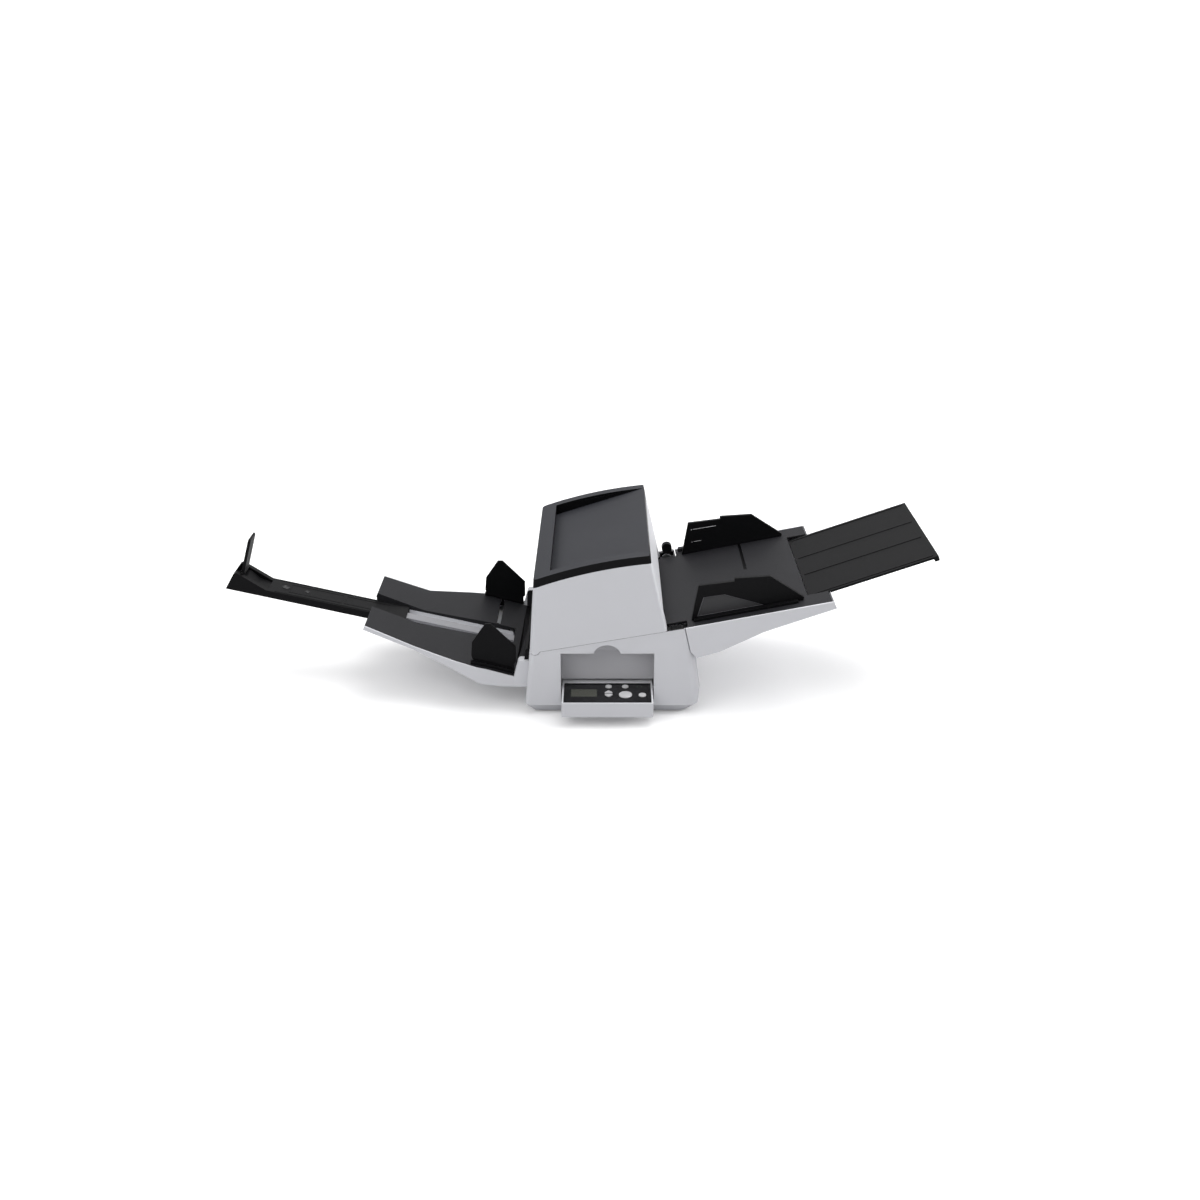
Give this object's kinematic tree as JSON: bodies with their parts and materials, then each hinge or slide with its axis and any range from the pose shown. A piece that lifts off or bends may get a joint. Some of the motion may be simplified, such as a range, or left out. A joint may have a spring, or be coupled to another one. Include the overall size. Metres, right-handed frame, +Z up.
{
  "type": "sheet fed document scanner",
  "caption": "Wide desktop sheet feed scanner with a straight sloping paper path, hopper, stacker, hinged upper unit and tilting operator panel.",
  "frame": {"origin": "on the desk under the middle of the base, at the level of the rubber feet's soles", "axes": "+Z up, +X towards the hopper (input side), -Y towards the operator panel"},
  "size_m": [1.2129, 0.4282, 0.2846],
  "materials": {
    "body_light_gray": "fine moulded texture, light cool gray",
    "recess_gray": "satin moulded gray",
    "cover_charcoal": "satin charcoal",
    "tray_black": "fine grained black",
    "gloss_black": "gloss black",
    "insert_gray": "satin dark gray",
    "button_gray": "smooth light gray",
    "display": "unlit liquid crystal display",
    "steel_plate": "zinc plated sheet",
    "shaft_steel": "ground",
    "roller_rubber": "matt",
    "roller_plastic": "smooth",
    "scan_glass": "clear",
    "board": "solder masked board",
    "gear_plastic": "natural acetal",
    "belt": "matt"
  },
  "bodies": {
    "body": {"lower_case": "body_light_gray", "base_plate": "steel_plate", "rubber_feet": "roller_rubber", "near_frame": "steel_plate", "far_frame": "steel_plate", "lower_guide": "tray_black", "lower_scan_unit": "tray_black", "lower_scan_glass": "scan_glass", "drive_motor": "steel_plate", "timing_belt": "belt", "main_board": "board", "power_inlet": "tray_black", "usb_port": "steel_plate", "panel_well": "recess_gray", "exit_cover": "tray_black", "hinge_pins": "shaft_steel", "hopper_shell": "body_light_gray", "stacker_shell": "body_light_gray", "stacker_tray": "tray_black", "stacker_rail": "button_gray"},
    "upper_unit": {"upper_case": "body_light_gray", "top_cover": "cover_charcoal", "upper_frames": "steel_plate", "upper_guide": "tray_black", "upper_scan_unit": "tray_black", "upper_scan_glass": "scan_glass"},
    "motor_rotor": {"motor_pulley": "shaft_steel"},
    "drive_roller": {"drive_shaft": "shaft_steel", "drive_tyres": "roller_rubber"},
    "eject_roller": {"eject_shaft": "shaft_steel", "eject_tyres": "roller_rubber"},
    "brake_roller": {"brake_roller": "roller_rubber"},
    "separator_roller": {"separator_roller": "roller_rubber"},
    "pick_arm": {"pick_arm": "tray_black"},
    "pick_roller": {"pick_roller": "roller_rubber"},
    "drive_pinch": {"drive_pinch": "roller_plastic"},
    "eject_pinch": {"eject_pinch": "roller_plastic"},
    "power_switch": {"power_switch": "gloss_black"},
    "release_lever": {"release_lever": "tray_black"},
    "hopper_table": {"hopper_table": "tray_black"},
    "hopper_guide_near": {"hopper_guide_near": "tray_black", "guide_insert_near": "insert_gray"},
    "hopper_guide_far": {"hopper_guide_far": "tray_black", "guide_insert_far": "insert_gray"},
    "guide_pinion": {"guide_pinion": "gear_plastic"},
    "hopper_extension": {"hopper_extension": "tray_black"},
    "stacker_guide_near": {"stacker_guide_near": "tray_black"},
    "stacker_guide_far": {"stacker_guide_far": "tray_black"},
    "stacker_extension": {"stacker_extension": "tray_black"},
    "stacker_stopper": {"stacker_stopper": "tray_black"},
    "panel": {"panel_case": "body_light_gray", "panel_face": "gloss_black", "panel_display": "display", "panel_board": "board"},
    "menu_button": {"menu_button": "button_gray"},
    "function_button": {"function_button": "button_gray"},
    "up_button": {"up_button": "button_gray"},
    "down_button": {"down_button": "button_gray"},
    "scan_button": {"scan_button": "button_gray"},
    "stop_button": {"stop_button": "button_gray"}
  },
  "joints": [
    {"name": "upper_unit_hinge", "type": "hinge", "parent": "body", "child": "upper_unit", "pos_m": [-0.126, 0, 0.118], "axis": [0, -1, 0], "range_deg": [0, 45]},
    {"name": "motor_spin", "type": "hinge", "parent": "body", "child": "motor_rotor", "pos_m": [0.095, 0, 0.085], "axis": [0, 1, 0], "continuous": true},
    {"name": "drive_spin", "type": "hinge", "parent": "body", "child": "drive_roller", "pos_m": [0.0006, 0, 0.13516], "axis": [0, 1, 0], "continuous": true},
    {"name": "eject_spin", "type": "hinge", "parent": "body", "child": "eject_roller", "pos_m": [-0.09788, 0, 0.1178], "axis": [0, 1, 0], "continuous": true},
    {"name": "brake_spin", "type": "hinge", "parent": "body", "child": "brake_roller", "pos_m": [0.04017, 0, 0.14112], "axis": [0, 1, 0], "continuous": true},
    {"name": "separator_spin", "type": "hinge", "parent": "upper_unit", "child": "separator_roller", "pos_m": [0.03614, 0, 0.16397], "axis": [0, 1, 0], "continuous": true},
    {"name": "pick_arm_swing", "type": "hinge", "parent": "upper_unit", "child": "pick_arm", "pos_m": [0.03614, 0, 0.16397], "axis": [0, -1, 0], "range_deg": [-2, 5]},
    {"name": "pick_spin", "type": "hinge", "parent": "pick_arm", "child": "pick_roller", "pos_m": [0.06542, 0, 0.17066], "axis": [0, 1, 0], "continuous": true},
    {"name": "drive_pinch_spin", "type": "hinge", "parent": "upper_unit", "child": "drive_pinch", "pos_m": [-0.00239, 0, 0.1521], "axis": [0, 1, 0], "continuous": true},
    {"name": "eject_pinch_spin", "type": "hinge", "parent": "upper_unit", "child": "eject_pinch", "pos_m": [-0.10087, 0, 0.13474], "axis": [0, 1, 0], "continuous": true},
    {"name": "power_switch_rock", "type": "hinge", "parent": "body", "child": "power_switch", "pos_m": [-0.06, 0.184, 0.042], "axis": [1, 0, 0], "range_deg": [0, 14]},
    {"name": "release_lever_turn", "type": "hinge", "parent": "body", "child": "release_lever", "pos_m": [0.106, 0.176, 0.148], "axis": [0, 1, 0], "range_deg": [0, 20], "stiffness_Nm_per_rad": 0.4, "springref_deg": -2.86},
    {"name": "hopper_table_lift", "type": "hinge", "parent": "body", "child": "hopper_table", "pos_m": [0.33316, 0, 0.19194], "axis": [0, 1, 0], "range_deg": [-3, 2]},
    {"name": "hopper_guide_near_slide", "type": "slide", "parent": "hopper_table", "child": "hopper_guide_near", "axis": [0, 1, 0], "range_m": [0, 0.126]},
    {"name": "hopper_guide_far_slide", "type": "slide", "parent": "hopper_table", "child": "hopper_guide_far", "axis": [0, -1, 0], "range_m": [0, 0.126]},
    {"name": "guide_pinion_spin", "type": "hinge", "parent": "hopper_table", "child": "guide_pinion", "pos_m": [0.22513, 0, 0.17117], "axis": [-0.1977, 0, 0.9803], "range_deg": [-580, 0]},
    {"name": "hopper_extension_slide", "type": "slide", "parent": "body", "child": "hopper_extension", "axis": [0.9426, 0, 0.3338], "range_m": [-0.15, 0]},
    {"name": "stacker_guide_near_slide", "type": "slide", "parent": "body", "child": "stacker_guide_near", "axis": [0, 1, 0], "range_m": [0, 0.105]},
    {"name": "stacker_guide_far_slide", "type": "slide", "parent": "body", "child": "stacker_guide_far", "axis": [0, -1, 0], "range_m": [0, 0.105]},
    {"name": "stacker_extension_slide", "type": "slide", "parent": "body", "child": "stacker_extension", "axis": [0.9744, 0, -0.225], "range_m": [0, 0.18]},
    {"name": "stopper_fold", "type": "hinge", "parent": "stacker_extension", "child": "stacker_stopper", "pos_m": [-0.643, 0, 0.1885], "axis": [0, 1, 0], "range_deg": [0, 95]},
    {"name": "panel_tilt", "type": "hinge", "parent": "body", "child": "panel", "pos_m": [-0.006, -0.171, 0.041], "axis": [1, 0, 0], "range_deg": [-93, 0]},
    {"name": "menu_button_press", "type": "slide", "parent": "panel", "child": "menu_button", "axis": [0, 0.0523, -0.9986], "range_m": [0, 0.0012], "stiffness_N_per_m": 400, "springref_m": -0.0004},
    {"name": "function_button_press", "type": "slide", "parent": "panel", "child": "function_button", "axis": [0, 0.0523, -0.9986], "range_m": [0, 0.0012], "stiffness_N_per_m": 400, "springref_m": -0.0004},
    {"name": "up_button_press", "type": "slide", "parent": "panel", "child": "up_button", "axis": [0, 0.0523, -0.9986], "range_m": [0, 0.0012], "stiffness_N_per_m": 400, "springref_m": -0.0004},
    {"name": "down_button_press", "type": "slide", "parent": "panel", "child": "down_button", "axis": [0, 0.0523, -0.9986], "range_m": [0, 0.0012], "stiffness_N_per_m": 400, "springref_m": -0.0004},
    {"name": "scan_button_press", "type": "slide", "parent": "panel", "child": "scan_button", "axis": [0, 0.0523, -0.9986], "range_m": [0, 0.0012], "stiffness_N_per_m": 400, "springref_m": -0.0004},
    {"name": "stop_button_press", "type": "slide", "parent": "panel", "child": "stop_button", "axis": [0, 0.0523, -0.9986], "range_m": [0, 0.0012], "stiffness_N_per_m": 400, "springref_m": -0.0004}
  ],
  "couplings": [
    {"joint": "eject_spin", "follows": "drive_spin", "ratio": 1},
    {"joint": "motor_spin", "follows": "drive_spin", "ratio": 2},
    {"joint": "pick_spin", "follows": "separator_spin", "ratio": 1},
    {"joint": "hopper_guide_far_slide", "follows": "hopper_guide_near_slide", "ratio": 1},
    {"joint": "guide_pinion_spin", "follows": "hopper_guide_near_slide", "rad_per_m": -80}
  ]
}
